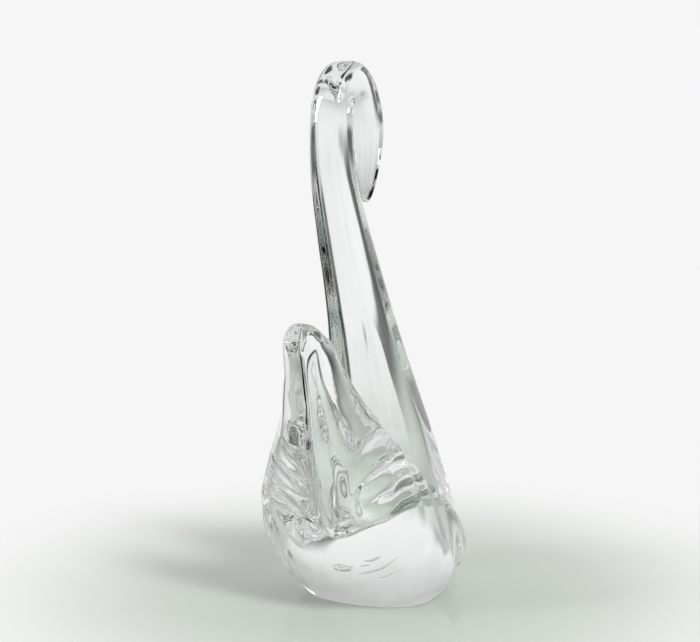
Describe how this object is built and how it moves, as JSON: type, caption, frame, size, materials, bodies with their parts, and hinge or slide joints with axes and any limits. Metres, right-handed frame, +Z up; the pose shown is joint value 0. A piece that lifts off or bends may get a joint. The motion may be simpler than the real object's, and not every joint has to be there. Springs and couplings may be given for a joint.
{
  "type": "crystal swan figurine",
  "caption": "Solid clear crystal swan, tall curved neck with hanging head, two crimped wings raised to a pointed tail, on a flat ground foot.",
  "frame": {"origin": "middle of the flat ground foot", "axes": "+Z up, the swan faces -Y, +X to its left"},
  "size_m": [0.09, 0.1194, 0.2425],
  "materials": {
    "crystal": "clear fire-polished lead crystal"
  },
  "bodies": {
    "root": {"swan": "crystal"}
  },
  "joints": []
}
